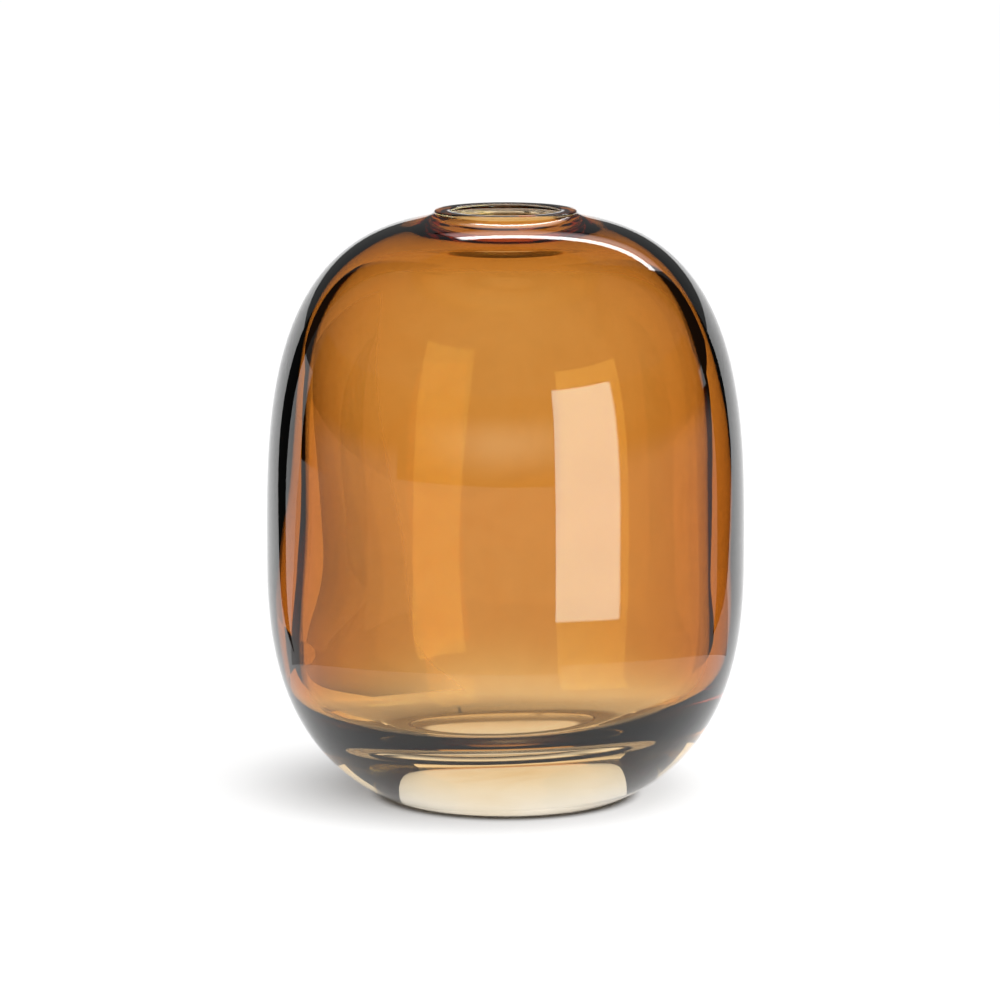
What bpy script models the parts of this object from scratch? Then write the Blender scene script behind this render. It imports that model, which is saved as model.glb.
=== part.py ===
"""Barrel bud vase of cased glass: a colourless casing with an amber lining inside it.

Units are metres and +Z is up. The origin is the centre of the bearing ring, on the surface that the vase
stands on. Both layers are turned about Z. Each outline is a list of (radius, height) points that runs down
the layer's outer side and back up its inner side.
"""

import math

import bpy

COLLECTION_NAME = "barrel_bud_vase"

# Outer form
HEIGHT = 0.1200
BODY_RADIUS = 0.0486
WAIST_HEIGHT = 0.0497
CROWN_DROP = 0.0008  # from the lip down to where the shoulder's curve would close on the axis
HEEL_OVERRUN = 0.0037  # how far below the table the heel's curve would close on the axis
SHOULDER_ROUNDNESS = 3.04  # exponent of the curve above the waist, where 2 is an ellipse
HEEL_ROUNDNESS = 2.57

# Lip and collar
MOUTH_RADIUS = 0.0111
LIP_WALL = 0.0034
LIP_EDGE = 0.0005
MOST_EDGE_SHARE = 0.4  # an edge is rounded by no more than this share of its wall
COLLAR_REACH = 0.0045  # how far outside the lip the collar's hollow flare meets the shoulder

# Cavity
WAIST_WALL = 0.0062
CROWN_WALL = 0.0040
FLOOR_HEIGHT = 0.0150
CEILING_ROUNDNESS = 3.4
FLOOR_ROUNDNESS = 5.35
THROAT_EDGE = 0.0014

# Underside
BEARING_WIDTH = 0.0038
RECESS_DEPTH = 0.0016
RECESS_EDGE = 0.0006
RECESS_CROWN = 0.0004  # how much deeper the recess is on the axis than beside the bearing ring

# Layers
LINING = 0.0012
GAP = 0.0003  # between the two layers, which are fused on the real vase

# Fineness of the turned surfaces
TURN_STEPS = 48
CURVE_POINTS = 11
EDGE_POINTS = 4
PANEL_STEPS = 2

LIP_RADIUS = MOUTH_RADIUS + LIP_WALL
CASING_INSIDE = LINING + GAP


def barrel_point(radius, height, roundness, angle):
    """A point of the superellipse with these half-axes, in the direction of angle on a unit square."""
    across, along = math.cos(angle), math.sin(angle)
    reach = (abs(across) ** roundness + abs(along) ** roundness) ** (-1 / roundness)
    return radius * reach * across, height * reach * along


def barrel_reach(half, other_half, roundness, distance):
    """How far the superellipse reaches along one half-axis, at this distance along the other."""
    return half * (1 - (distance / other_half) ** roundness) ** (1 / roundness)


def barrel_angle(radius, height, point):
    """The angle at which barrel_point gives this point, which lies on the curve."""
    return math.atan2(point[1] / height, point[0] / radius)


def barrel_arc(radius, height, roundness, start, end, count=CURVE_POINTS):
    """Points from the angle start to the angle end, as (radius, distance from the waist)."""
    steps = [start + (end - start) * i / (count - 1) for i in range(count)]
    return [barrel_point(radius, height, roundness, angle) for angle in steps]


def round_edge(centre, edge, start, end):
    """Points of a circular arc round an edge, with its angles in degrees."""
    angles = [math.radians(start + (end - start) * i / (EDGE_POINTS - 1)) for i in range(EDGE_POINTS)]
    return [(centre[0] + edge * math.cos(a), centre[1] + edge * math.sin(a)) for a in angles]


def flare(start, corner, end):
    """Points of a parabola from start to end whose end tangents meet at corner, without its two ends."""
    points = []
    for i in range(1, EDGE_POINTS + 1):
        t = i / (EDGE_POINTS + 1)
        weights = ((1 - t) ** 2, 2 * t * (1 - t), t**2)
        points.append(tuple(sum(w * p[axis] for w, p in zip(weights, (start, corner, end))) for axis in (0, 1)))
    return points


def from_waist(points, direction):
    """Points that are given from the waist, moved to their height above the table."""
    return [(radius, WAIST_HEIGHT + direction * along) for radius, along in points]


def outer_side():
    """The casing's outside, from the lip down over collar, shoulder, waist and heel to the bearing ring."""
    rise = HEIGHT - CROWN_DROP - WAIST_HEIGHT
    fall = WAIST_HEIGHT + HEEL_OVERRUN
    edge = min(LIP_EDGE, MOST_EDGE_SHARE * (LIP_WALL - CASING_INSIDE))

    collar_radius = LIP_RADIUS + COLLAR_REACH
    collar = (collar_radius, barrel_reach(rise, BODY_RADIUS, SHOULDER_ROUNDNESS, collar_radius))
    across, along = collar[0] / BODY_RADIUS, collar[1] / rise
    slope = rise / BODY_RADIUS * (across / along) ** (SHOULDER_ROUNDNESS - 1)
    corner = (LIP_RADIUS, WAIST_HEIGHT + collar[1] + slope * COLLAR_REACH)
    collar_top = (LIP_RADIUS, max(HEIGHT - edge, corner[1]))

    bearing_radius = barrel_reach(BODY_RADIUS, fall, HEEL_ROUNDNESS, WAIST_HEIGHT)
    bearing_edge = barrel_angle(BODY_RADIUS, fall, (bearing_radius, WAIST_HEIGHT))
    shoulder = barrel_arc(
        BODY_RADIUS, rise, SHOULDER_ROUNDNESS, barrel_angle(BODY_RADIUS, rise, collar), 0, CURVE_POINTS + 3
    )
    heel = barrel_arc(BODY_RADIUS, fall, HEEL_ROUNDNESS, 0, bearing_edge)
    points = round_edge((LIP_RADIUS - edge, HEIGHT - edge), edge, 90, 0)
    points += flare(collar_top, corner, (collar[0], WAIST_HEIGHT + collar[1]))
    points += from_waist(shoulder, 1)
    return points + from_waist(heel, -1)[1:], bearing_radius


def underside(bearing_radius):
    """The bearing ring's inner edge and the recessed panel, from the ring to the axis."""
    inner = bearing_radius - BEARING_WIDTH
    edge = min(RECESS_EDGE, MOST_EDGE_SHARE * RECESS_DEPTH)
    wall = [(inner, 0.0)] + round_edge((inner - edge, RECESS_DEPTH - edge), edge, 0, 90)
    panel_radius = inner - edge
    shares = [1 - i / PANEL_STEPS for i in range(1, PANEL_STEPS + 1)]
    return wall + [(share * panel_radius, RECESS_DEPTH + RECESS_CROWN * (1 - share**2)) for share in shares]


def cavity_side(outset):
    """The cavity's outline moved outset into the glass, from the axis on the floor up to the mouth."""
    radius = BODY_RADIUS - WAIST_WALL + outset
    rise = HEIGHT - CROWN_DROP - CROWN_WALL - WAIST_HEIGHT + outset
    fall = WAIST_HEIGHT - FLOOR_HEIGHT + outset
    edge = THROAT_EDGE + CASING_INSIDE - outset
    throat_radius = MOUTH_RADIUS + outset + edge
    ceiling = (throat_radius, barrel_reach(rise, radius, CEILING_ROUNDNESS, throat_radius))
    floor = barrel_arc(radius, fall, FLOOR_ROUNDNESS, math.pi / 2, 0)
    side = barrel_arc(radius, rise, CEILING_ROUNDNESS, 0, barrel_angle(radius, rise, ceiling))
    points = from_waist(floor, -1) + from_waist(side, 1)[1:-1]
    points[0] = (0.0, points[0][1])
    return points + round_edge((throat_radius, WAIST_HEIGHT + ceiling[1] + edge), edge, 270, 180)


def casing_outline():
    outside, bearing_radius = outer_side()
    inside = cavity_side(CASING_INSIDE)
    return outside + underside(bearing_radius) + inside + [(MOUTH_RADIUS + CASING_INSIDE, HEIGHT)]


def lining_outline():
    outside = [(MOUTH_RADIUS + LINING, HEIGHT)] + cavity_side(LINING)[::-1]
    edge = min(LIP_EDGE, MOST_EDGE_SHARE * LINING)
    return outside + cavity_side(0.0) + round_edge((MOUTH_RADIUS + edge, HEIGHT - edge), edge, 180, 90)


def glass(name, colour, roughness):
    """A clear Principled glass of this colour."""
    material = bpy.data.materials.new(name)
    material.use_nodes = True
    shader = material.node_tree.nodes["Principled BSDF"]
    shader.inputs["Base Color"].default_value = (*colour, 1.0)
    shader.inputs["Metallic"].default_value = 0.0
    shader.inputs["Roughness"].default_value = roughness
    shader.inputs["IOR"].default_value = 1.51
    shader.inputs["Transmission Weight"].default_value = 1.0
    material.diffuse_color = (*colour, 0.5)
    return material


def turned(name, outline, material, parent, collection):
    """An object made by turning a closed outline about Z."""
    mesh = bpy.data.meshes.new(name)
    edges = [(i, (i + 1) % len(outline)) for i in range(len(outline))]
    mesh.from_pydata([(radius, 0.0, height) for radius, height in outline], edges, [])
    mesh.materials.append(material)
    layer = bpy.data.objects.new(name, mesh)
    layer.parent = parent
    collection.objects.link(layer)
    screw = layer.modifiers.new("turn", "SCREW")
    screw.axis = "Z"
    screw.steps = TURN_STEPS
    screw.render_steps = TURN_STEPS
    screw.use_merge_vertices = True
    screw.merge_threshold = 0.00001
    screw.use_smooth_shade = True
    return layer


def main():
    for old in list(bpy.data.objects):
        bpy.data.objects.remove(old)
    collection = bpy.data.collections.new(COLLECTION_NAME)
    bpy.context.scene.collection.children.link(collection)
    vase = bpy.data.objects.new("vase_axis", None)
    vase.empty_display_size = BODY_RADIUS
    collection.objects.link(vase)

    clear = glass("clear_glass", (0.96, 0.97, 0.96), 0.02)
    amber = glass("amber_glass", (0.80, 0.36, 0.07), 0.02)
    turned("clear_casing", casing_outline(), clear, vase, collection)
    turned("amber_lining", lining_outline(), amber, vase, collection)


main()
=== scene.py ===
"""Looks of the barrel bud vase: cased glass, colourless outside and amber inside, on a white studio table.

Units are metres and +Z is up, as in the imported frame. Both layers are turned about Z, and each outline is a
list of (radius, height) points. The casing is modelled as the whole glass body, out to the cavity's surface,
because the real layers are fused there, and the lining is the amber layer that lies in its inner face. A
bearing is an angle about Z in degrees, from the camera's side of the vase and rising to the camera's right.
"""

import logging
import math
from abc import ABC, abstractmethod
from dataclasses import dataclass
from enum import Enum
from typing import Any, Callable, Sequence

import bmesh
import bpy
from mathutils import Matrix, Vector

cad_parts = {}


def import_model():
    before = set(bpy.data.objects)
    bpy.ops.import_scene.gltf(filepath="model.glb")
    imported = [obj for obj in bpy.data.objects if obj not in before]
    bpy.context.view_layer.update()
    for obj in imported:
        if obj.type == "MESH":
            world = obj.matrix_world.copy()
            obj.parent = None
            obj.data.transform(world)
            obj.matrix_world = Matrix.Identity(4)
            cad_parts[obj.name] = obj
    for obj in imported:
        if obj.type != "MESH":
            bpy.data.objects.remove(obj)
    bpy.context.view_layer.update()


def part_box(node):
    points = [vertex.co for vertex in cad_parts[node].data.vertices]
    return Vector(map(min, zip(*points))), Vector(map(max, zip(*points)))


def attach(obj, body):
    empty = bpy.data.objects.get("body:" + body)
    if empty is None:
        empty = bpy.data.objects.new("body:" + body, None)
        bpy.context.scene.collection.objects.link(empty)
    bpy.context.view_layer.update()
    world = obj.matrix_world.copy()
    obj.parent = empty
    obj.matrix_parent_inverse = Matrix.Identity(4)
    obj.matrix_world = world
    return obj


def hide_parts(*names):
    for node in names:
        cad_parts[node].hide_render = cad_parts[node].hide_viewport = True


log = logging.getLogger("barrel_bud_vase")

WHITE = (1.0, 1.0, 1.0)
BLACK = (0.0, 0.0, 0.0)
ORIGIN = (0.0, 0.0, 0.0)

# How many points the outlines' curves have.
SHOULDER_POINTS = 56
HEEL_POINTS = 52
FLOOR_POINTS = 60
WALL_POINTS = 64
NECK_POINTS = 12
EDGE_POINTS = 6
BEARING_POINTS = 5

Spot = tuple[float, float]
Span = tuple[float, float]
Point = tuple[float, float, float]
Colour = tuple[float, float, float]


def grey(level: float) -> Colour:
    """The grey of this level, where 1 is white."""
    return (level, level, level)


def blend(first: float, last: float, share: float) -> float:
    """The value that lies this share of the way from first to last."""
    return first + (last - first) * share


def ease(low: float, high: float, value: float) -> float:
    """Rises smoothly from 0 where value is low to 1 where it is high.

    Args:
        low: The value at which the rise starts.
        high: The value at which it ends; it may lie below low.
        value: The value to look up.

    Returns:
        The eased share, from 0 to 1.
    """
    share = min(max((value - low) / (high - low), 0.0), 1.0)
    return share * share * (3 - 2 * share)


def barrel_point(radius: float, height: float, roundness: float, angle: float) -> Spot:
    """A point of the superellipse with these half-axes.

    Args:
        radius: Half-axis along the radius.
        height: Half-axis along the height.
        roundness: Exponent, where 2 is an ellipse.
        angle: Direction on a unit square, in radians.

    Returns:
        The point as (radius, distance from the waist).
    """
    across, along = math.cos(angle), math.sin(angle)
    reach = (abs(across) ** roundness + abs(along) ** roundness) ** (-1 / roundness)
    return radius * reach * across, height * reach * along


def barrel_reach(half: float, other_half: float, roundness: float, distance: float) -> float:
    """How far the superellipse reaches along one half-axis, at this distance along the other.

    Args:
        half: The half-axis to measure along.
        other_half: The other half-axis.
        roundness: Exponent of the curve.
        distance: Distance along the other half-axis.

    Returns:
        The reach.
    """
    return half * (1 - (distance / other_half) ** roundness) ** (1 / roundness)


def barrel_arc(
    radius: float, height: float, roundness: float, start: float, end: float, count: int
) -> list[Spot]:
    """Points of a superellipse from one angle to another.

    Args:
        radius: Half-axis along the radius.
        height: Half-axis along the height.
        roundness: Exponent of the curve.
        start: First angle, as barrel_point takes it.
        end: Last angle.
        count: How many points.

    Returns:
        The points as (radius, distance from the waist).
    """
    angles = [blend(start, end, i / (count - 1)) for i in range(count)]
    return [barrel_point(radius, height, roundness, angle) for angle in angles]


def barrel_angle(radius: float, height: float, spot: Spot) -> float:
    """The angle at which barrel_point gives this point of the curve."""
    return math.atan2(spot[1] / height, spot[0] / radius)


def round_edge(centre: Spot, edge: float, start: float, end: float, count: int) -> list[Spot]:
    """Points of a circular arc round an edge.

    Args:
        centre: The arc's centre.
        edge: Its radius.
        start: First angle in degrees.
        end: Last angle in degrees.
        count: How many points.

    Returns:
        The points.
    """
    angles = [math.radians(blend(start, end, i / (count - 1))) for i in range(count)]
    return [(centre[0] + edge * math.cos(a), centre[1] + edge * math.sin(a)) for a in angles]


def flare(start: Spot, corner: Spot, end: Spot, count: int) -> list[Spot]:
    """Points of a parabola whose end tangents meet at a corner.

    Args:
        start: Its first point.
        corner: Where the two end tangents meet.
        end: Its last point.
        count: How many points, with both ends.

    Returns:
        The points.
    """
    spots = []
    for i in range(count):
        t = i / (count - 1)
        weights = ((1 - t) ** 2, 2 * t * (1 - t), t**2)
        radius, height = (sum(w * s[axis] for w, s in zip(weights, (start, corner, end))) for axis in (0, 1))
        spots.append((radius, height))
    return spots


def run(start: Spot, end: Spot, count: int) -> list[Spot]:
    """Evenly spaced points of a straight line, without its two ends.

    Args:
        start: One end.
        end: The other end.
        count: How many points lie between them.

    Returns:
        The points.
    """
    shares = [i / (count + 1) for i in range(1, count + 1)]
    return [(blend(start[0], end[0], s), blend(start[1], end[1], s)) for s in shares]


@dataclass(frozen=True)
class VaseForm:
    """The vase's driving sizes, as the solids have them, and the outlines that follow from them.

    Attributes:
        height: Height over all.
        body_radius: Radius at the waist, where the body is widest.
        waist_height: Height of the waist.
        crown_drop: How far below the lip's top the shoulder's curve would close on the axis.
        heel_overrun: How far below the table the heel's curve would.
        shoulder_roundness: Exponent of the shoulder's curve.
        heel_roundness: Exponent of the heel's curve.
        mouth_radius: Radius of the mouth.
        lip_wall: Width of the lip's flat top, with its edges.
        lip_edge: Radius of those edges.
        collar_reach: How far the collar flares out below the lip.
        waist_wall: Thickness of the glass at the waist.
        crown_wall: Thickness under the crown, measured on the axis.
        floor_height: Height of the cavity's floor.
        ceiling_roundness: Exponent of the cavity's curve above the waist.
        floor_roundness: Exponent of that curve below the waist.
        throat_edge: Radius of the edge where the cavity turns up into the mouth.
        bearing_width: Width of the bearing ring.
        recess_depth: Depth of the recess within it.
        recess_edge: Radius of the recess's edges.
        recess_crown: How far the recessed panel rises towards its middle.
        heel_lift: Height at which the heel's curve starts to turn flat.
    """

    height: float
    body_radius: float
    waist_height: float = 0.0497
    crown_drop: float = 0.0008
    heel_overrun: float = 0.0037
    shoulder_roundness: float = 3.04
    heel_roundness: float = 2.57
    mouth_radius: float = 0.0111
    lip_wall: float = 0.0034
    lip_edge: float = 0.0005
    collar_reach: float = 0.0045
    waist_wall: float = 0.0062
    crown_wall: float = 0.0040
    floor_height: float = 0.0150
    ceiling_roundness: float = 3.4
    floor_roundness: float = 5.35
    throat_edge: float = 0.0029
    bearing_width: float = 0.0038
    recess_depth: float = 0.0016
    recess_edge: float = 0.0006
    recess_crown: float = 0.0004
    heel_lift: float = 0.0004

    @classmethod
    def from_frame(cls) -> "VaseForm":
        """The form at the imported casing's own height and radius."""
        low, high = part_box("clear_casing")
        return cls(height=high[2] - low[2], body_radius=(high[0] - low[0]) / 2)

    @property
    def lip_radius(self) -> float:
        """Outer radius of the lip."""
        return self.mouth_radius + self.lip_wall

    @property
    def shoulder_rise(self) -> float:
        """From the waist up to where the shoulder's curve would close on the axis."""
        return self.height - self.crown_drop - self.waist_height

    @property
    def heel_fall(self) -> float:
        """From the waist down to where the heel's curve would close on the axis."""
        return self.waist_height + self.heel_overrun

    @property
    def heel_end(self) -> Spot:
        """Where the heel's curve starts to turn flat into the bearing ring."""
        drop = self.waist_height - self.heel_lift
        return barrel_reach(self.body_radius, self.heel_fall, self.heel_roundness, drop), self.heel_lift

    @property
    def bearing_radius(self) -> float:
        """Outer radius of the bearing ring."""
        return barrel_reach(self.body_radius, self.heel_fall, self.heel_roundness, self.waist_height)

    @property
    def recess_radius(self) -> float:
        """Radius of the recess, which is the bearing ring's inner radius."""
        return self.bearing_radius - self.bearing_width

    def above_waist(self, spots: Sequence[Spot], direction: int) -> list[Spot]:
        """Points given from the waist, moved to their height above the table."""
        return [(radius, self.waist_height + direction * along) for radius, along in spots]

    def outside(self) -> list[Spot]:
        """The outer side, from the lip's flat top down over collar, shoulder and waist to the heel's end.

        Returns:
            The outline's points, top to bottom.
        """
        rise, edge = self.shoulder_rise, self.lip_edge
        collar_radius = self.lip_radius + self.collar_reach
        collar = (collar_radius, barrel_reach(rise, self.body_radius, self.shoulder_roundness, collar_radius))
        across, along = collar[0] / self.body_radius, collar[1] / rise
        slope = rise / self.body_radius * (across / along) ** (self.shoulder_roundness - 1)
        corner = (self.lip_radius, self.waist_height + collar[1] + slope * self.collar_reach)
        collar_top = (self.lip_radius, max(self.height - edge, corner[1]))
        start = barrel_angle(self.body_radius, rise, collar)
        shoulder = barrel_arc(self.body_radius, rise, self.shoulder_roundness, start, 0, SHOULDER_POINTS)

        heel_radius, heel_lift = self.heel_end
        end = barrel_angle(self.body_radius, self.heel_fall, (heel_radius, self.waist_height - heel_lift))
        heel = barrel_arc(self.body_radius, self.heel_fall, self.heel_roundness, 0, end, HEEL_POINTS)

        spots = round_edge((self.lip_radius - edge, self.height - edge), edge, 90, 0, EDGE_POINTS)
        spots += flare(collar_top, corner, (collar[0], self.waist_height + collar[1]), NECK_POINTS)[1:-1]
        spots += self.above_waist(shoulder, 1)
        return spots + self.above_waist(heel, -1)[1:]

    def underside(self) -> list[Spot]:
        """The bearing ring and the recess beside it, from the heel's end to the panel's edge.

        Returns:
            The outline's points, from the outside in.
        """
        outer, inner, edge = self.bearing_radius, self.recess_radius, self.recess_edge
        spots = flare(self.heel_end, (outer, 0.0), (outer - edge, 0.0), EDGE_POINTS + 1)[1:]
        spots += run((outer - edge, 0.0), (inner + edge, 0.0), BEARING_POINTS)
        spots += flare((inner + edge, 0.0), (inner, 0.0), (inner, edge), EDGE_POINTS)
        spots += run((inner, edge), (inner, self.recess_depth - edge), count=2)
        return spots + round_edge((inner - edge, self.recess_depth - edge), edge, 0, 90, EDGE_POINTS)

    def panel(self) -> list[Spot]:
        """The recessed panel's shallow crown, from beside its edge nearly to the axis.

        Returns:
            The outline's points, from the outside in.
        """
        radius = self.recess_radius - self.recess_edge
        shares = [0.9, 0.75, 0.6, 0.45, 0.3, 0.15, 0.05]
        return [(s * radius, self.recess_depth + self.recess_crown * (1 - s * s)) for s in shares]

    def cavity(self) -> list[Spot]:
        """The cavity's surface, from beside the axis on its floor up to the mouth, below the lip's edge.

        Returns:
            The outline's points, bottom to top.
        """
        radius = self.body_radius - self.waist_wall
        rise = self.shoulder_rise - self.crown_wall
        fall = self.waist_height - self.floor_height
        edge = self.throat_edge
        throat = self.mouth_radius + edge
        ceiling = (throat, barrel_reach(rise, radius, self.ceiling_roundness, throat))
        floor = barrel_arc(radius, fall, self.floor_roundness, math.pi / 2, 0, FLOOR_POINTS)
        end = barrel_angle(radius, rise, ceiling)
        side = barrel_arc(radius, rise, self.ceiling_roundness, 0, end, WALL_POINTS)
        spots = self.above_waist(floor, -1)[1:] + self.above_waist(side, 1)[1:-1]
        neck = round_edge((throat, self.waist_height + ceiling[1] + edge), edge, 270, 180, NECK_POINTS)
        top = (self.mouth_radius, self.height - self.lip_edge)
        return spots + neck + run(neck[-1], top, count=3)


@dataclass(frozen=True)
class Wave:
    """One slow swell of the cavity's wall.

    Attributes:
        depth: How far the wall moves to each side.
        around: How many swells go round the vase.
        length: Height over which the swell turns once.
        start: Its phase in radians.
    """

    depth: float
    around: int
    length: float
    start: float


@dataclass(frozen=True)
class BlownCavity:
    """How the blown cavity departs from a true turned shape.

    Attributes:
        off_axis: How far the cavity lies off the vase's axis, as (x, y).
        off_axis_radii: Radii between which that offset sets in above the tilted part, outwards.
        tilt: Tilt of the floor in degrees, lower at -X.
        tilt_heights: Heights between which the tilt sets in, downwards.
        swell_radii: Radii between which the swells set in on the floor, outwards.
        swell_heights: Heights between which they set in on the wall, downwards.
        waves: The wall's swells.
    """

    off_axis: Span = (-0.0001, -0.0013)
    off_axis_radii: Span = (0.0125, 0.030)
    tilt: float = 1.9
    tilt_heights: Span = (0.0520, 0.020)
    swell_radii: Span = (0.008, 0.030)
    swell_heights: Span = (0.1120, 0.0920)
    waves: tuple[Wave, ...] = (
        Wave(0.00016, 2, 0.130, 0.6),
        Wave(0.00012, 3, 0.085, 2.1),
        Wave(0.00006, 5, 0.060, 4.0),
    )

    def moved(self, base: Spot, spot: Spot, angle: float) -> Vector:
        """A point of the cavity's wall, or beside it, once the glass is blown.

        Args:
            base: The point of the true outline that the spot belongs to.
            spot: The (radius, height) to move.
            angle: Angle about the vase's axis, in radians.

        Returns:
            The point in space.
        """
        swell = sum(
            w.depth * math.cos(w.around * angle + w.start + math.tau * base[1] / w.length) for w in self.waves
        )
        on_wall = ease(*self.swell_radii, base[0]) * ease(*self.swell_heights, base[1])
        radius = spot[0] + swell * on_wall
        low = ease(*self.tilt_heights, base[1])
        lift = math.tan(math.radians(self.tilt)) * base[0] * math.cos(angle) * low
        off = 1.0 if base[1] < self.tilt_heights[0] else ease(*self.off_axis_radii, base[0])
        across, depth = (off * shift for shift in self.off_axis)
        return Vector((radius * math.cos(angle) + across, radius * math.sin(angle) + depth, spot[1] + lift))


@dataclass(frozen=True)
class Knurl:
    """The short radial bars pressed into the bearing ring.

    Attributes:
        bars: How many bars go round the ring.
        depth: How deep the grooves between them are.
        run_out: How far a bar's rounded ends reach past the ring.
    """

    bars: int = 144
    depth: float = 0.00028
    run_out: float = 0.0009

    def lift(self, form: VaseForm, spot: Spot, angle: float) -> float:
        """How far a groove lifts this point of the underside off the table.

        Args:
            form: The vase's form.
            spot: The point's (radius, height).
            angle: Angle about the vase's axis, in radians.

        Returns:
            The lift.
        """
        outer = ease(form.bearing_radius + self.run_out, form.bearing_radius, spot[0])
        inner = ease(form.recess_depth, form.recess_depth / 2, spot[1])
        return self.depth * outer * inner * (1 - math.cos(self.bars * angle)) / 2


class TurnedSkin:
    """Vertices and faces of rings about the vase's axis, each joined to the one before it."""

    def __init__(self) -> None:
        """Starts with no rings."""
        self.points: list[Vector] = []
        self.faces: list[tuple[int, ...]] = []
        self.last: list[int] = []

    def add(self, points: Sequence[Vector]) -> None:
        """Adds a ring, or a pole where there is one point, and joins it to the ring before it.

        Args:
            points: The ring's points, anticlockwise as seen from above.
        """
        ring = list(range(len(self.points), len(self.points) + len(points)))
        self.points += points
        if self.last:
            self._join(self.last, ring)
        self.last = ring

    def turn(self, spots: Sequence[Spot], count: int, place: Callable[[Spot, float], Vector]) -> None:
        """Adds one ring for each point of an outline.

        Args:
            spots: The outline's points.
            count: How many points go round each ring.
            place: Gives the point in space for an outline point and an angle.
        """
        for spot in spots:
            self.add([place(spot, math.tau * i / count) for i in range(count)])

    def _join(self, first: list[int], second: list[int]) -> None:
        """Fills the band between two rings, whose counts may differ.

        Args:
            first: The earlier ring's vertices.
            second: The later ring's vertices.
        """
        if len(first) == len(second):
            for i in range(len(first)):
                after = (i + 1) % len(first)
                self.faces.append((first[i], second[i], second[after], first[after]))
            return
        i = j = 0
        steps = (len(first) if len(first) > 1 else 0, len(second) if len(second) > 1 else 0)
        while i < steps[0] or j < steps[1]:
            here, there = first[i % len(first)], second[j % len(second)]
            if j < steps[1] and (i >= steps[0] or (j + 0.5) / steps[1] < (i + 0.5) / steps[0]):
                j += 1
                self.faces.append((here, there, second[j % len(second)]))
            else:
                i += 1
                self.faces.append((here, there, first[i % len(first)]))

    def make(self, name: str, material: bpy.types.Material) -> bpy.types.Object:
        """Makes the mesh object, shaded smooth.

        Args:
            name: The piece's name.
            material: Its finish.

        Returns:
            The object, linked to the scene.
        """
        mesh = bpy.data.meshes.new(name)
        mesh.from_pydata([tuple(p) for p in self.points], [], self.faces)
        mesh.materials.append(material)
        mesh.shade_smooth()
        piece = bpy.data.objects.new(name, mesh)
        bpy.context.scene.collection.objects.link(piece)
        return piece


class Wire:
    """A shader socket that takes part in Python arithmetic, each operation adding its Math node."""

    def __init__(self, bench: "Bench", socket: bpy.types.NodeSocket) -> None:
        """Wraps an output socket of a node on this bench."""
        self.bench = bench
        self.socket = socket

    def __add__(self, other: "Wire | float") -> "Wire":
        """This value plus another."""
        return self.bench.maths("ADD", self, other)

    def __radd__(self, other: float) -> "Wire":
        """A number plus this value."""
        return self.bench.maths("ADD", other, self)

    def __sub__(self, other: "Wire | float") -> "Wire":
        """This value less another."""
        return self.bench.maths("SUBTRACT", self, other)

    def __rsub__(self, other: float) -> "Wire":
        """A number less this value."""
        return self.bench.maths("SUBTRACT", other, self)

    def __mul__(self, other: "Wire | float") -> "Wire":
        """This value times another."""
        return self.bench.maths("MULTIPLY", self, other)

    def __rmul__(self, other: float) -> "Wire":
        """A number times this value."""
        return self.bench.maths("MULTIPLY", other, self)


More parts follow.
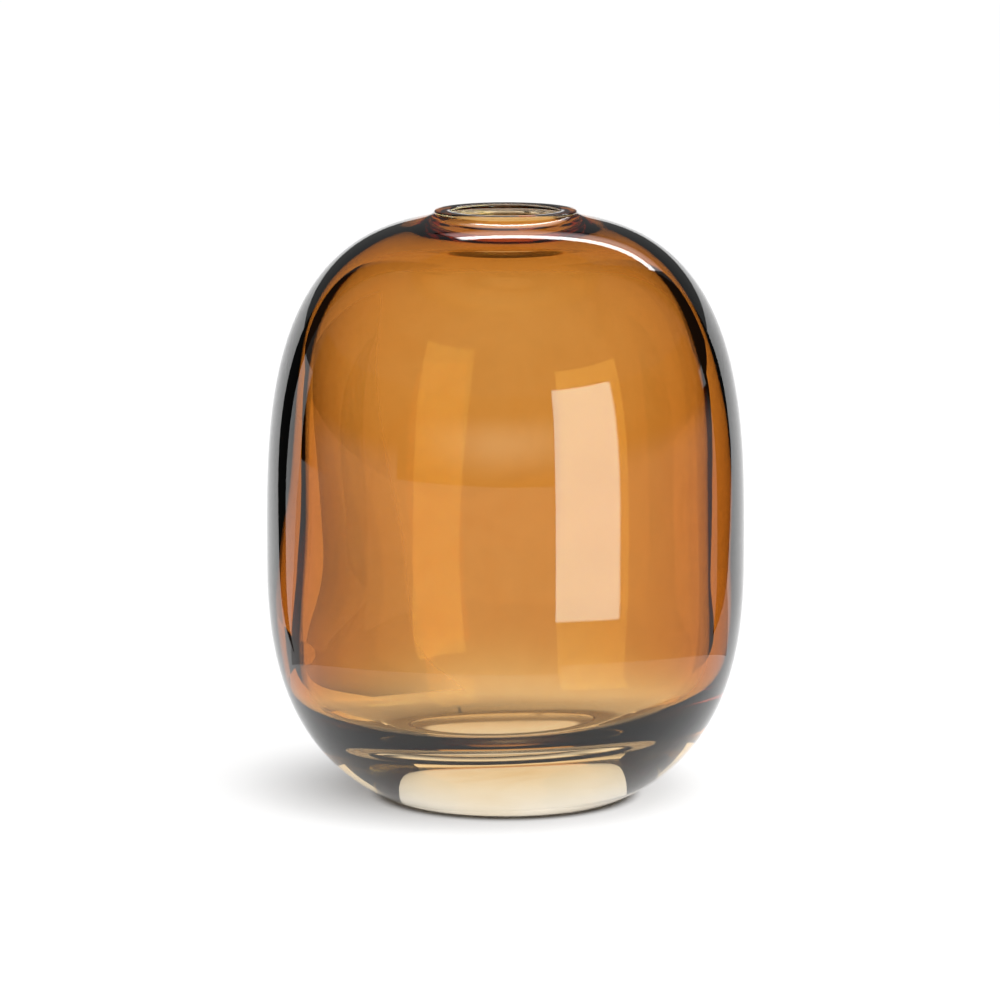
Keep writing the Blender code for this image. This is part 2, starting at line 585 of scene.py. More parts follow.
class Bench:
    """A node tree and the ways in which nodes are added to it."""

    def __init__(self, tree: bpy.types.NodeTree) -> None:
        """Clears the tree, so that it holds only what is added here."""
        self.tree = tree
        tree.nodes.clear()

    @classmethod
    def for_material(cls, name: str) -> tuple["Bench", bpy.types.Material]:
        """Makes a material and a bench for its nodes.

        Args:
            name: The material's name.

        Returns:
            The bench and the material.
        """
        material = bpy.data.materials.new(name)
        material.use_nodes = True
        return cls(material.node_tree), material

    def node(
        self, kind: str, settings: dict[str, Any] | None = None, sockets: dict[str | int, Any] | None = None
    ) -> bpy.types.Node:
        """Adds a node.

        Args:
            kind: The node's type, without the leading ShaderNode.
            settings: Its properties, set before its sockets.
            sockets: A value, or a Wire to link, for each input by name or number.

        Returns:
            The node.
        """
        node = self.tree.nodes.new("ShaderNode" + kind)
        for name, value in (settings or {}).items():
            setattr(node, name, value)
        for key, value in (sockets or {}).items():
            if isinstance(value, Wire):
                self.tree.links.new(value.socket, node.inputs[key])
            else:
                node.inputs[key].default_value = value
        return node

    def wire(self, node: bpy.types.Node, output: str | int = 0) -> Wire:
        """The node's output as a Wire."""
        return Wire(self, node.outputs[output])

    def maths(self, operation: str, *values: "Wire | float") -> Wire:
        """Adds a Math node for this operation on these values."""
        return self.wire(self.node("Math", {"operation": operation}, dict(enumerate(values))))

    def rise(self, value: Wire, low: float, high: float) -> Wire:
        """Eases from 0 where value is low to 1 where it is high."""
        sockets = {"Value": value, "From Min": low, "From Max": high}
        return self.wire(self.node("MapRange", {"interpolation_type": "SMOOTHSTEP"}, sockets))

    def place(self) -> Wire:
        """The point in the object's own space."""
        return self.wire(self.node("TexCoord"), "Object")

    def noise(self, scale: float, detail: float = 2.0, distortion: float = 0.0) -> Wire:
        """Noise in the object's own space, from 0 to 1, whose scale is in features to the metre."""
        sockets = {"Vector": self.place(), "Scale": scale, "Detail": detail, "Distortion": distortion}
        return self.wire(self.node("TexNoise", None, sockets), "Fac")

    def distance(self, point: Point, depth_scale: float = 1.0) -> Wire:
        """The distance from a point in the object's own space.

        Args:
            point: The point.
            depth_scale: What distances along Y are multiplied by.

        Returns:
            The distance.
        """
        scale = (1.0, depth_scale, 1.0)
        here = self.wire(self.node("VectorMath", {"operation": "MULTIPLY"}, {0: self.place(), 1: scale}))
        there = (point[0], point[1] * depth_scale, point[2])
        return self.wire(self.node("VectorMath", {"operation": "DISTANCE"}, {0: here, 1: there}), "Value")

    def tint(self, share: Wire, first: "Wire | Colour", last: "Wire | Colour") -> Wire:
        """A colour between two.

        Args:
            share: How far it lies from the first to the last, from 0 to 1.
            first: The colour at 0.
            last: The colour at 1.

        Returns:
            The colour.
        """
        ends = [end if isinstance(end, Wire) else (*end, 1.0) for end in (first, last)]
        # Inputs 6 and 7 and output 2 are the Mix node's sockets for colours.
        sockets = {"Factor": share, 6: ends[0], 7: ends[1]}
        return self.wire(self.node("Mix", {"data_type": "RGBA"}, sockets), 2)


@dataclass(frozen=True)
class ClearGlass:
    """Colourless glass with the slow ripple of a fire-polished surface.

    Attributes:
        ior: Refractive index.
        thin: Colour where the surface passes the most light.
        thick: Colour in its faint cords.
        cord_scale: Cords to the metre.
        cord_turns: Detail and distortion of their pattern.
        cord_levels: Levels of that pattern between which a cord sets in.
        ripple_scale: Ripples to the metre.
        ripple_depth: Height of the ripples.
        panel_roughness: Roughness of the recessed panel under the base, which is not fire-polished.
        panel_top: Heights between which that roughness ends.
        panel_edge: Distances from the axis between which it ends.
    """

    ior: float = 1.5
    thin: Colour = (0.995, 0.995, 0.99)
    thick: Colour = (0.965, 0.97, 0.96)
    cord_scale: float = 70.0
    cord_turns: Span = (3.0, 1.5)
    cord_levels: Span = (0.45, 0.8)
    ripple_scale: float = 45.0
    ripple_depth: float = 0.00005
    panel_roughness: float = 0.12
    panel_top: Span = (0.0026, 0.0036)
    panel_edge: Span = (0.0195, 0.0205)

    def build(self) -> bpy.types.Material:
        """Makes the material.

        Returns:
            The finished material.
        """
        bench, material = Bench.for_material("clear glass")
        cords = bench.rise(bench.noise(self.cord_scale, *self.cord_turns), *self.cord_levels)
        ripple = bench.node(
            "Bump", None, {"Distance": self.ripple_depth, "Height": bench.noise(self.ripple_scale, 1.0)}
        )
        height = bench.wire(bench.node("SeparateXYZ", None, {0: bench.place()}), "Z")
        low = 1 - bench.rise(height, *self.panel_top)
        inner = 1 - bench.rise(bench.distance(ORIGIN), *self.panel_edge)
        surface = bench.node(
            "BsdfPrincipled",
            None,
            {
                "Base Color": bench.tint(cords, self.thin, self.thick),
                "Roughness": self.panel_roughness * low * inner,
                "IOR": self.ior,
                "Transmission Weight": 1.0,
                "Normal": bench.wire(ripple),
            },
        )
        bench.node("OutputMaterial", None, {"Surface": bench.wire(surface)})
        return material


@dataclass(frozen=True)
class AmberGlass:
    """The amber layer: colour by the depth of glass that light crosses, and faint streaks.

    Attributes:
        depth_colour: What a full depth of the glass lets through.
        density: How strongly it colours, to the metre.
        clear: Colour of the plain glass's faces.
        streak: Colour of its streaks.
        streak_scale: Streaks to the metre.
        streak_turns: Detail and distortion of their pattern.
        streak_levels: Levels of that pattern between which a streak sets in.
    """

    depth_colour: Colour = (0.8543, 0.5800, 0.0500)
    density: float = 1750.0
    clear: Colour = WHITE
    streak: Colour = (0.985, 0.965, 0.92)
    streak_scale: float = 55.0
    streak_turns: Span = (4.0, 2.0)
    streak_levels: Span = (0.4, 0.75)

    def build(self) -> bpy.types.Material:
        """Makes the material.

        Returns:
            The finished material.
        """
        bench, material = Bench.for_material("amber glass")
        streaks = bench.rise(bench.noise(self.streak_scale, *self.streak_turns), *self.streak_levels)
        surface = bench.node(
            "BsdfPrincipled",
            None,
            {
                "Base Color": bench.tint(streaks, self.clear, self.streak),
                "Roughness": 0.0,
                "IOR": 1.0,
                "Transmission Weight": 1.0,
            },
        )
        depth = bench.node(
            "VolumeAbsorption", None, {"Color": (*self.depth_colour, 1.0), "Density": self.density}
        )
        bench.node("OutputMaterial", None, {"Surface": bench.wire(surface), "Volume": bench.wire(depth)})
        return material


@dataclass(frozen=True)
class Casing:
    """The colourless body, with the cavity's surface, the lip, the outside and the knurled underside.

    Attributes:
        form: The vase's form.
        cavity: How the cavity departs from it.
        knurl: The bars on the bearing ring.
        round_count: How many points go round the vase.
        fine_count: How many go round the bearing ring.
    """

    form: VaseForm
    cavity: BlownCavity
    knurl: Knurl
    round_count: int = 192
    fine_count: int = 576

    def build(self) -> bpy.types.Object:
        """Makes the casing from one closed skin, from the cavity's floor round to the recessed panel.

        Returns:
            The casing's object.
        """
        form = self.form
        skin = TurnedSkin()
        pole = (0.0, form.floor_height)
        skin.add([self.cavity.moved(pole, pole, 0.0)])
        skin.turn(form.cavity(), self.round_count, lambda spot, angle: self.cavity.moved(spot, spot, angle))
        skin.turn(self._lip(), self.round_count, self._plain)
        skin.turn(form.outside(), self.round_count, self._plain)
        skin.turn(form.underside(), self.fine_count, self._knurled)
        skin.turn(form.panel(), self.round_count, self._plain)
        skin.add([Vector((0.0, 0.0, form.recess_depth + form.recess_crown))])
        return skin.make("clear_casing_glass", ClearGlass().build())

    def _lip(self) -> list[Spot]:
        """The lip's inner edge and flat top.

        Returns:
            The outline's points, from the mouth outwards.
        """
        form, edge = self.form, self.form.lip_edge
        inner = round_edge((form.mouth_radius + edge, form.height - edge), edge, 180, 90, EDGE_POINTS)
        return inner + run(inner[-1], (form.lip_radius - edge, form.height), count=3)

    def _plain(self, spot: Spot, angle: float) -> Vector:
        """A point of a true turned surface."""
        return Vector((spot[0] * math.cos(angle), spot[0] * math.sin(angle), spot[1]))

    def _knurled(self, spot: Spot, angle: float) -> Vector:
        """A point of the underside, lifted where a groove passes."""
        return self._plain((spot[0], spot[1] + self.knurl.lift(self.form, spot, angle)), angle)


@dataclass(frozen=True)
class Lining:
    """The amber layer, a closed shell just inside the glass's inner face.

    Attributes:
        form: The vase's form.
        cavity: How the cavity departs from it.
        wall_depth: The layer's thickness in the wall at the waist.
        floor_depth: Its thickness on the floor.
        crown_depth: Its thickness under the shoulder.
        lip_depth: Its thickness in the lip.
        wall_from: Height from which the layer is as thick as in the wall.
        crown_heights: Heights between which it turns as thick as under the shoulder.
        lip_heights: Heights between which it turns as thick as in the lip.
        skin_gap: How far its inner face lies behind the glass's.
        round_count: How many points go round it.
    """

    form: VaseForm
    cavity: BlownCavity
    wall_depth: float = 0.00100
    floor_depth: float = 0.00006
    crown_depth: float = 0.00090
    lip_depth: float = 0.00010
    wall_from: float = 0.030
    crown_heights: Span = (0.060, 0.100)
    lip_heights: Span = (0.1176, 0.1184)
    skin_gap: float = 0.00002
    round_count: int = 192

    def build(self) -> bpy.types.Object:
        """Makes the lining from its inner face and the outer face round it.

        Returns:
            The lining's object.
        """
        base = self.form.cavity()
        normals = self._normals(base)
        skin = TurnedSkin()
        pole = (0.0, self.form.floor_height)
        skin.add([self.cavity.moved(pole, (0.0, pole[1] - self.skin_gap), 0.0)])
        self._side(skin, base, normals, lambda spot: self.skin_gap)
        self._side(skin, base[::-1], normals[::-1], self._depth)
        skin.add([self.cavity.moved(pole, (0.0, pole[1] - self.floor_depth), 0.0)])
        return skin.make("amber_lining_glass", AmberGlass().build())

    def _side(
        self,
        skin: TurnedSkin,
        base: Sequence[Spot],
        normals: Sequence[Spot],
        depth: Callable[[Spot], float],
    ) -> None:
        """Adds one face of the layer.

        Args:
            skin: The skin to add to.
            base: The cavity's outline, in the order of the rings.
            normals: At each of its points, the direction into the glass.
            depth: How far into the glass the face lies there.
        """
        for spot, normal in zip(base, normals):
            into = depth(spot)
            moved = (spot[0] + normal[0] * into, spot[1] + normal[1] * into)
            angles = [math.tau * i / self.round_count for i in range(self.round_count)]
            skin.add([self.cavity.moved(spot, moved, angle) for angle in angles])

    def _depth(self, spot: Spot) -> float:
        """The layer's thickness at a point of the cavity's outline.

        Args:
            spot: The point.

        Returns:
            The thickness.
        """
        height = spot[1]
        lower = blend(self.floor_depth, self.wall_depth, ease(self.form.floor_height, self.wall_from, height))
        upper = blend(self.crown_depth, self.lip_depth, ease(*self.lip_heights, height))
        return blend(lower, upper, ease(*self.crown_heights, height))

    @staticmethod
    def _normals(spots: Sequence[Spot]) -> list[Spot]:
        """The direction into the glass at each point of the cavity's outline.

        Args:
            spots: The outline, from the floor up to the mouth.

        Returns:
            One unit direction for each point.
        """
        normals = []
        for i in range(len(spots)):
            before, after = spots[max(i - 1, 0)], spots[min(i + 1, len(spots) - 1)]
            across, along = after[0] - before[0], after[1] - before[1]
            length = math.hypot(across, along)
            normals.append((along / length, -across / length))
        return normals


class SeenBy(Enum):
    """Which rays meet a card of the studio."""

    GLASS = "reflected and transmitted rays"
    MIRROR = "reflected rays"
    THROUGH = "transmitted rays"


@dataclass(frozen=True)
class StudioCard(ABC):
    """A black flag or a bright panel that only the glass sees.

    Attributes:
        name: The card's name.
        light: How bright it is, where 1 is white.
        seen_by: Which rays meet it.
        colour: Its colour.
        soft: Shares of its width and height over which its left, right, lower and upper edges fade.
        left_light: Brightness at its left edge as a share of that at its right edge.
        mirrored_only: Whether light that no surface has mirrored passes through it.
    """

    name: str
    light: float
    seen_by: SeenBy = SeenBy.GLASS
    colour: Colour = WHITE
    soft: tuple[float, float, float, float] = (0.0, 0.0, 0.0, 0.0)
    left_light: float = 1.0
    mirrored_only: bool = False

    @abstractmethod
    def point(self, across: float, up: float) -> Vector:
        """The card's point at these shares of its width and height."""

    def columns(self) -> int:
        """How many faces wide the card is."""
        return 1

    def build(self) -> bpy.types.Object:
        """Makes the card, hidden from the camera and from matt surfaces.

        Returns:
            The card's object.
        """
        columns = self.columns()
        mesh = bpy.data.meshes.new(self.name)
        shares = [(i / columns, up) for i in range(columns + 1) for up in (0.0, 1.0)]
        faces = [(2 * i, 2 * i + 2, 2 * i + 3, 2 * i + 1) for i in range(columns)]
        mesh.from_pydata([tuple(self.point(*share)) for share in shares], [], faces)
        layer = mesh.uv_layers.new(name="card")
        for loop in mesh.loops:
            layer.data[loop.index].uv = shares[loop.vertex_index]
        mesh.materials.append(self._finish())
        card = bpy.data.objects.new(self.name, mesh)
        bpy.context.scene.collection.objects.link(card)
        card.visible_camera = False
        card.visible_diffuse = False
        card.visible_shadow = False
        card.visible_transmission = self.seen_by is not SeenBy.MIRROR
        card.visible_glossy = self.seen_by is not SeenBy.THROUGH
        return card

    def _finish(self) -> bpy.types.Material:
        """Makes the card's light, which fades over its soft edges and doesn't light the table.

        Returns:
            The light's material.
        """
        bench, material = Bench.for_material(self.name)
        split = bench.node("SeparateXYZ", None, {0: bench.wire(bench.node("TexCoord"), "UV")})
        across, up = bench.wire(split, "X"), bench.wire(split, "Y")
        path = bench.node("LightPath")
        share = bench.maths("LESS_THAN", bench.wire(path, "Diffuse Depth"), 0.5)
        share = share * (self.left_light + (1 - self.left_light) * across)
        left, right, lower, upper = self.soft
        for edge, width in ((across, left), (1 - across, right), (up, lower), (1 - up, upper)):
            if width:
                share = share * bench.rise(edge, 0.0, width)
        sockets = {"Color": bench.tint(share, BLACK, self.colour), "Strength": self.light}
        glow = bench.wire(bench.node("Emission", None, sockets))
        if self.mirrored_only:
            mirrored = bench.maths("GREATER_THAN", bench.wire(path, "Glossy Depth"), 0.5)
            clear = bench.wire(bench.node("BsdfTransparent"))
            glow = bench.wire(bench.node("MixShader", None, {0: mirrored, 1: clear, 2: glow}))
        bench.node("OutputMaterial", None, {"Surface": glow})
        return material


@dataclass(frozen=True)
class ArcCard(StudioCard):
    """A card that stands upright and curves round the vase.

    Attributes:
        distances: The distances of its lower and upper edges from the vase's axis.
        bearings: The bearings of its left and right edges.
        heights: The heights of its lower and upper edges.
    """

    distances: Span = (1.0, 1.0)
    bearings: Span = (0.0, 90.0)
    heights: Span = (0.0, 1.0)

    def columns(self) -> int:
        """One face to about three degrees."""
        return max(1, round(abs(self.bearings[1] - self.bearings[0]) / 3))

    def point(self, across: float, up: float) -> Vector:
        """The card's point at these shares of its width and height.

        Args:
            across: Share of its width, from its left edge.
            up: Share of its height, from its lower edge.

        Returns:
            The point in space.
        """
        bearing = math.radians(blend(*self.bearings, across))
        distance = blend(*self.distances, up)
        return Vector((distance * math.sin(bearing), -distance * math.cos(bearing), blend(*self.heights, up)))


@dataclass(frozen=True)
class FlatCard(StudioCard):
    """A flat card.

    Attributes:
        corner: Its lower left corner, seen from the vase.
        side: From that corner to the lower right one.
        rise: From that corner to the upper left one.
    """

    corner: Point = ORIGIN
    side: Point = (1.0, 0.0, 0.0)
    rise: Point = (0.0, 0.0, 1.0)

    def point(self, across: float, up: float) -> Vector:
        """The card's point at these shares of its width and height."""
        return Vector(self.corner) + across * Vector(self.side) + up * Vector(self.rise)


@dataclass(frozen=True)
class StripLamp:
    """A long straight lamp above and behind the vase, mirrored along the shoulder.

    Attributes:
        bearing: Bearing of the point of the lamp's line that lies nearest.
        distance: Level distance to that point.
        height: Height of the lamp.
        faces: Height on the vase's axis that the lamp faces.
        ends: How far the lamp reaches from that point, to the camera's right.
        width: The lamp's width.
        light: How bright it is, where 1 is white.
        spill: Brightness of the fading light beside it.
        spill_colour: That light's colour.
        spill_width: How far the fading light reaches, in widths of the lamp.
    """

    bearing: float = 190.7
    distance: float = 0.55
    height: float = 0.627
    faces: float = 0.115
    ends: Span = (0.0, 0.70)
    width: float = 0.065
    light: float = 8.0
    spill: float = 1.3
    spill_colour: Colour = (1.0, 0.88, 0.90)
    spill_width: float = 1.9

    def cards(self) -> list[StudioCard]:
        """The fading light beside the lamp, and the lamp itself.

        Returns:
            The two cards, which face the vase.
        """
        bearing = math.radians(self.bearing)
        out = Vector((math.sin(bearing), -math.cos(bearing), 0.0))
        along = Vector((-math.cos(bearing), -math.sin(bearing), 0.0))
        middle = out * self.distance + Vector((0.0, 0.0, self.height))
        face = (middle - Vector((0.0, 0.0, self.faces))).normalized()
        tall = along.cross(face).normalized() * self.width
        corner = tuple(middle + along * self.ends[0] - tall / 2)
        side = tuple(along * (self.ends[1] - self.ends[0]))
        return [
            FlatCard(
                "strip_spill",
                self.spill,
                SeenBy.MIRROR,
                colour=self.spill_colour,
                soft=(0.02, 0.02, 0.0, 0.7),
                corner=corner,
                side=side,
                rise=tuple(-tall * self.spill_width),
            ),
            FlatCard(
                "strip_lamp",
                self.light,
                SeenBy.MIRROR,
                soft=(0.02, 0.02, 0.05, 0.05),
                corner=corner,
                side=side,
                rise=tuple(tall),
            ),
        ]


@dataclass(frozen=True)
class Table:
    """The white table, which keeps a soft shadow.

    Attributes:
        radius: Its radius.
        sides: How many straight sides it has.
        drop: How far it lies under the vase's foot, so that no faces meet.
        white: Its colour, as a level of grey.
        glow: Light that it gives off by itself away from the vase, which keeps it white on camera; where it
            fades towards the vase it paints the shadow.
        shade: The middle of its painted shadow.
        shade_reach: Distances from that middle between which the glow sets in.
        contact_shadow_reach: Distances from the vase's axis between which the painted contact shadow round
            its foot ends.
        under: The middle of the painted light under the vase, which stands in for the light that its glass
            gathers there.
        under_scale: What distances along Y from that middle are multiplied by.
        under_glow: That light's strength.
        under_reach: Distances from its middle between which it ends.
    """

    radius: float = 6.0
    sides: int = 96
    drop: float = 0.0001
    white: float = 0.80
    glow: float = 0.85
    shade: Point = (-0.008, 0.010, 0.0)
    shade_reach: Span = (0.004, 0.055)
    contact_shadow_reach: Span = (0.0245, 0.0285)
    under: Point = (0.0, -0.0050, 0.0)
    under_scale: float = 1.15
    under_glow: float = 0.9
    under_reach: Span = (0.0160, 0.0185)

    def build(self) -> bpy.types.Object:
        """Makes the table and its light.

        Returns:
            The table's object.
        """
        bench, material = Bench.for_material("white table")
        # Painted shadow: the glow fades to black towards the shade's middle, over the real shade that the
        # lamp and the world's fill cast.
        unshaded = bench.rise(bench.distance(self.shade), *self.shade_reach)
        open_table = bench.tint(unshaded, BLACK, grey(self.glow))
        # Painted contact shadow: the glow turns black round the vase's foot and under its bearing ring.
        contact = bench.rise(bench.distance(ORIGIN), *self.contact_shadow_reach)
        with_contact_shadow = bench.tint(contact, BLACK, open_table)
        # Painted light under the vase; where it ends, at the recess's far side, the painted contact shadow
        # shows as a dark crescent.
        under = bench.rise(bench.distance(self.under, self.under_scale), *self.under_reach)
        glow = bench.tint(under, grey(self.under_glow), with_contact_shadow)
        surface = bench.node(
            "BsdfPrincipled",
            None,
            {
                "Base Color": (*grey(self.white), 1.0),
                "Roughness": 1.0,
                "Specular IOR Level": 0.0,
                "Emission Color": glow,
                "Emission Strength": 1.0,
            },
        )
        bench.node("OutputMaterial", None, {"Surface": bench.wire(surface)})
        shape = bmesh.new()
        bmesh.ops.create_circle(shape, cap_ends=True, segments=self.sides, radius=self.radius)
        mesh = bpy.data.meshes.new("table")
        shape.to_mesh(mesh)
        shape.free()
        mesh.materials.append(material)
        table = bpy.data.objects.new("table", mesh)
        table.location.z = -self.drop
        bpy.context.scene.collection.objects.link(table)
        return table


@dataclass(frozen=True)
class Studio:
    """The room round the vase: white table and backdrop, black flags, panels and lamps.

    Attributes:
        fill: Strength of the world's light on matt surfaces.
        lamp_place: Where the lamp stands that casts the table's shadow.
        lamp_size: Its width.
        lamp_power: Its power in watts.
        dark: Light of the black cards.
        room: Distance of the room's wall.
        near: Distance of the cards that stand just inside it.
        room_top: Height of the wall and the ceiling.
        room_light: Light of the wall.
        backdrop_top: Height at which the wall starts, above the white backdrop.
        front_ends: Bearings at which the front's light ends on the left and on the right.
        front_split: Bearing at which its left part meets its right one.
        front_lights: Its light on the left and on the right.
        front_starts: Distances from which it lies on the table, on the left and on the right.
        front_top: Height up to which it stands.
        lying: Height of that light's lying cards above the table, and of the lower edges of the fins of
            painted shade.
        glow_light: Light of the soft glow in front.
        glow_tint: Its colour.
        dim_light: Light of the painted shade on the table behind the vase, at its bright edge.
        dim_share: Its light at the dark edge as a share of that.
        dim_height: Its height above the table.
        window_light: Light of the window.
        window_tint: Its colour.
        window_distance: Its distance.
        window_heights: Heights of its lower and upper edges.
        window_bearings: Bearings of its left and right edges, as the front mirrors it.
        within_bearings: The same bearings as the back wall mirrors it.
        within_start: Distance from which that one's light lies on the table.
    """

    fill: float = 0.2
    lamp_place: Point = (0.30, -0.25, 1.05)
    lamp_size: float = 0.70
    lamp_power: float = 2.5
    dark: float = 0.015
    room: float = 1.0
    near: float = 0.98
    room_top: float = 1.6
    room_light: float = 0.12
    backdrop_top: float = 0.222
    front_ends: Span = (-115.0, 125.0)
    front_split: float = 22.0
    front_lights: Span = (0.62, 0.50)
    front_starts: Span = (0.112, 0.125)
    front_top: float = 0.16
    lying: float = 0.0005
    glow_light: float = 2.2
    glow_tint: Colour = (1.0, 1.0, 0.65)
    dim_light: float = 1.08
    dim_share: float = 0.4
    dim_height: float = 0.0006
    window_light: float = 7.0
    window_tint: Colour = (0.72, 1.0, 0.95)
    window_distance: float = 0.22
    window_heights: Span = (0.001, 0.155)
    window_bearings: Span = (20.8, 51.0)
    within_bearings: Span = (26.5, 62.0)
    within_start: float = 0.13

    def build(self) -> None:
        """Builds everything round the vase."""
        Table().build()
        self._world()
        self._lamp()
        for card in [*self._room(), *self._shade_fins(), *self._front(), *self._window(), *StripLamp().cards()]:
            card.build()

    def _room(self) -> list[StudioCard]:
        """The dark room with its flags, and a card of painted shade that dims the table behind the vase on
        the left.

        Returns:
            The cards.
        """
        # Each flag's name, corner and side, and the bearings of the dark seen through the glass beyond it.
        flags = (
            ("left_flag", (-0.118, 0.045, 0), (-0.39, 0.567, 0), (208, 300)),
            ("right_flag", (0.150, 0.045, 0), (0.36, 0.530, 0), (60, 152)),
        )
        cards: list[StudioCard] = [
            ArcCard(
                "room_wall",
                self.room_light,
                SeenBy.MIRROR,
                distances=(self.room, self.room),
                bearings=(0, 360),
                heights=(self.backdrop_top, self.room_top),
            ),
            FlatCard(
                "room_ceiling",
                self.dark,
                SeenBy.MIRROR,
                corner=(-1.2, -1.2, self.room_top),
                side=(2.4, 0, 0),
                rise=(0, 2.4, 0),
            ),
            # Painted shade: a card lying on the table behind the vase on the left, seen only through the
            # glass, darker towards the left.
            ArcCard(
                "left_shade_floor",
                self.dim_light,
                SeenBy.THROUGH,
                left_light=self.dim_share,
                distances=(0.07, 0.97),
                bearings=(206, 188),
                heights=(self.dim_height, self.dim_height),
            ),
        ]
        for name, corner, side, bearings in flags:
            cards.append(FlatCard(name, self.dark, corner=corner, side=side, rise=(0, 0, 0.5)))
            cards.append(
                ArcCard(
                    f"{name}_within",
                    self.dark,
                    SeenBy.THROUGH,
                    distances=(self.near, self.near),
                    bearings=bearings,
                    heights=(0.0, self.room_top),
                )
            )
        return cards

    def _shade_fins(self) -> list[StudioCard]:
        """Two small black fins of painted shade behind the heel, seen only through the glass after a
        mirroring, which keep its sides dark.
        """
        # Painted shade: black cards behind the heel, which only light that the glass has mirrored meets.
        return [
            FlatCard(
                name,
                self.dark,
                SeenBy.THROUGH,
                mirrored_only=True,
                corner=(across, 0.0392, self.lying),
                side=(turn, 0.0200, 0),
                rise=(0, 0.006, 0.0200),
            )
            for name, across, turn in (("right_shade_fin", 0.012, 0.0006), ("left_shade_fin", -0.012, 0.0002))
        ]

    def _front(self) -> list[StudioCard]:
        """What the vase's front mirrors beside the window, and the dark that shows through its sides.

        Returns:
            The cards.
        """
        near = (self.near, self.near)
        (left, right), split = self.front_ends, self.front_split
        return [
            ArcCard(
                "front_glow",
                self.glow_light,
                SeenBy.MIRROR,
                colour=self.glow_tint,
                soft=(0.5, 0.5, 0.5, 0.5),
                distances=(0.95, 0.95),
                bearings=(-52, 52),
                heights=(0.04, 0.31),
            ),
            ArcCard(
                "front_dark",
                self.dark,
                SeenBy.MIRROR,
                distances=near,
                bearings=(left, -left),
                heights=(self.front_top, 0.40),
            ),
            ArcCard(
                "front_within",
                self.dark,
                SeenBy.THROUGH,
                distances=near,
                bearings=(left, -left),
                heights=(0.0, self.room_top),
            ),
            *self._front_part("left", self.front_lights[0], (left, split), self.front_starts[0], 0.2),
            *self._front_part("right", self.front_lights[1], (split, right), self.front_starts[1], 0.0),
        ]

    def _front_part(
        self, side: str, light: float, bearings: Span, start: float, fade: float
    ) -> list[StudioCard]:
        """The left or the right part of the front's light, standing and lying.

        Args:
            side: The word for the part in its cards' names.
            light: How bright it is.
            bearings: Bearings of its left and right edges.
            start: Distance from which it lies on the table.
            fade: Share of its width over which the standing card's left edge fades.

        Returns:
            The two cards.
        """
        standing = ArcCard(
            f"front_{side}",
            light,
            SeenBy.MIRROR,
            soft=(fade, 0.0, 0.0, 0.75),
            distances=(self.near, self.near),
            bearings=bearings,
            heights=(0.0, self.front_top),
        )
        lying = ArcCard(
            f"floor_{side}",
            light,
            SeenBy.MIRROR,
            distances=(start, self.near),
            bearings=bearings,
            heights=(self.lying, self.lying),
        )
        return [standing, lying]

    def _window(self) -> list[StudioCard]:
        """The window on the right, once as the front mirrors it and once as the back wall does.

        Returns:
            The cards.
        """
        upright = (self.window_distance, self.window_distance)
        foot = self.window_heights[0]
        return [
            ArcCard(
                "window_panel",
                self.window_light,
                SeenBy.MIRROR,
                colour=self.window_tint,
                soft=(0.02, 0.06, 0.02, 0.02),
                distances=upright,
                bearings=self.window_bearings,
                heights=self.window_heights,
            ),
            ArcCard(
                "window_within",
                self.window_light,
                SeenBy.THROUGH,
                colour=self.window_tint,
                mirrored_only=True,
                distances=upright,
                bearings=self.within_bearings,
                heights=self.window_heights,
            ),
            ArcCard(
                "window_within_low",
                self.window_light,
                SeenBy.THROUGH,
                colour=self.window_tint,
                mirrored_only=True,
                distances=(self.within_start, self.window_distance),
                bearings=self.within_bearings,
                heights=(foot, foot),
            ),
        ]

    def _world(self) -> None:
        """White for the camera and the glass, and a dimmer fill for the table."""
        world = bpy.data.worlds.new("studio")
        bpy.context.scene.world = world
        world.use_nodes = True
        bench = Bench(world.node_tree)
        matt = bench.maths("GREATER_THAN", bench.wire(bench.node("LightPath"), "Diffuse Depth"), 0.5)
        strength = 1 - matt * (1 - self.fill)
        sky = bench.node("Background", None, {"Color": (*WHITE, 1.0), "Strength": strength})
        bench.node("OutputWorld", None, {"Surface": bench.wire(sky)})

    def _lamp(self) -> None:
        """The soft lamp on the right that casts the table's shadow."""
        data = bpy.data.lights.new("shadow_lamp", "AREA")
        data.shape = "DISK"
        data.size = self.lamp_size
        data.energy = self.lamp_power
        lamp = bpy.data.objects.new("shadow_lamp", data)
        lamp.location = self.lamp_place
        lamp.rotation_euler = (-Vector(self.lamp_place)).to_track_quat("-Z", "Y").to_euler()
        lamp.visible_glossy = False
        lamp.visible_transmission = False
        bpy.context.scene.collection.objects.link(lamp)


@dataclass(frozen=True)
class PhotoCamera:
    """The photograph's viewpoint.

    Attributes:
        distance: From the camera to the point that it aims at.
        pitch: How far it looks down, in degrees.
        focal_pixels: Focal length in pixels of the picture.
        picture_pixels: The picture's width.
        film: Width of the camera's film in millimetres.
        aim: The point that it aims at.
    """

    distance: float = 1.100
    pitch: float = 9.32
    focal_pixels: float = 5404.6
    picture_pixels: float = 1000.0
    film: float = 36.0
    aim: Point = (-0.00112, 0.0, 0.0606)

    def build(self) -> None:
        """Makes it the scene's camera."""
        data = bpy.data.cameras.new("photo_camera")
        data.sensor_width = self.film
        data.lens = self.film * self.focal_pixels / self.picture_pixels
        camera = bpy.data.objects.new("photo_camera", data)
        pitch = math.radians(self.pitch)
        back = Vector((0.0, -math.cos(pitch), math.sin(pitch)))
        camera.location = Vector(self.aim) + back * self.distance
        camera.rotation_euler = (math.pi / 2 - pitch, 0.0, 0.0)
        bpy.context.scene.collection.objects.link(camera)
        bpy.context.scene.camera = camera


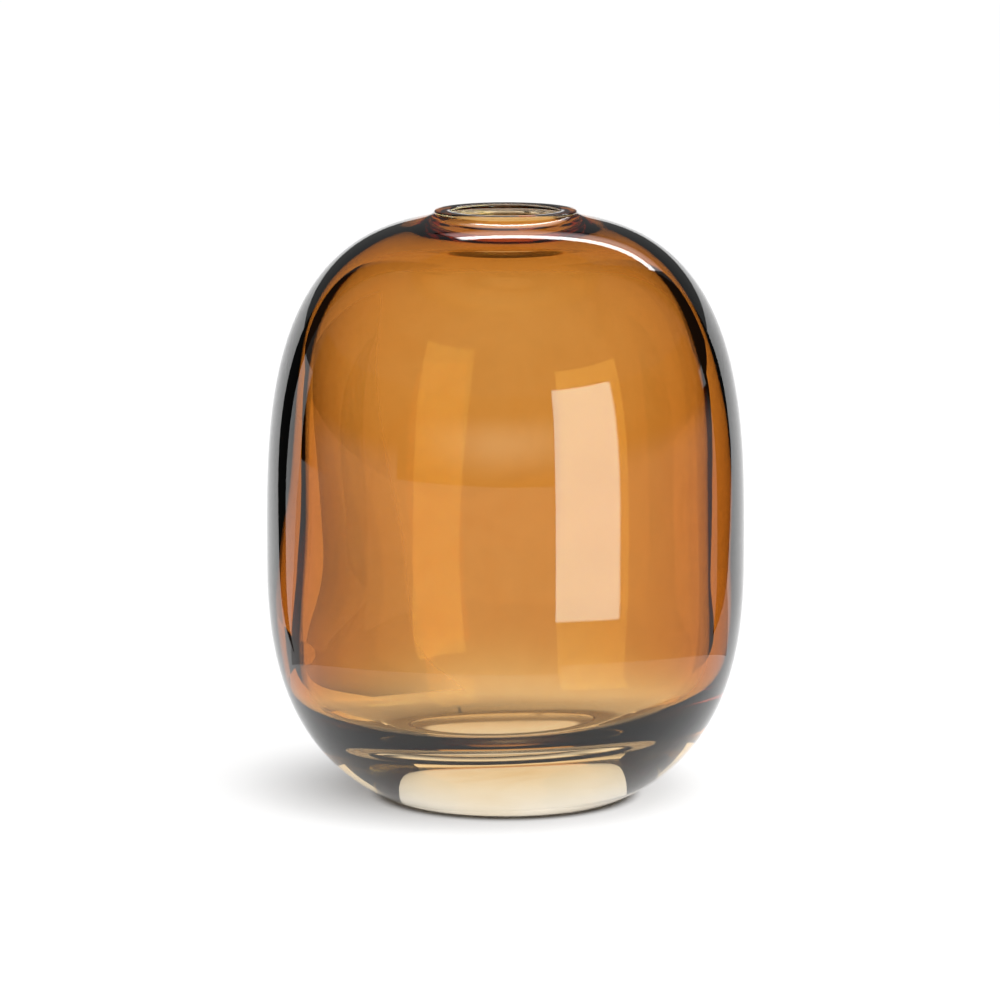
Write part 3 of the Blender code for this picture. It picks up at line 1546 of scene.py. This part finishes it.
def set_light_paths(scene: bpy.types.Scene) -> None:
    """Sets a plain view, and lets light cross and bounce between both walls as often as cased glass needs.

    Args:
        scene: The scene to set.
    """
    scene.view_settings.view_transform = "Standard"
    scene.cycles.max_bounces = 48
    scene.cycles.transmission_bounces = 48
    scene.cycles.glossy_bounces = 24
    scene.cycles.transparent_max_bounces = 24
    scene.cycles.sample_clamp_indirect = 0.0


def main() -> None:
    """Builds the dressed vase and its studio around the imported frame."""
    logging.basicConfig(level=logging.INFO, format="%(message)s")
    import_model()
    form = VaseForm.from_frame()
    cavity = BlownCavity()

    casing = Casing(form, cavity, Knurl()).build()
    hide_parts("clear_casing")
    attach(casing, "root")
    log.info("casing: %d faces", len(casing.data.polygons))

    lining = Lining(form, cavity).build()
    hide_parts("amber_lining")
    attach(lining, "root")
    log.info("lining: %d faces", len(lining.data.polygons))

    PhotoCamera().build()
    Studio().build()
    set_light_paths(bpy.context.scene)


if __name__ == "__main__":
    main()
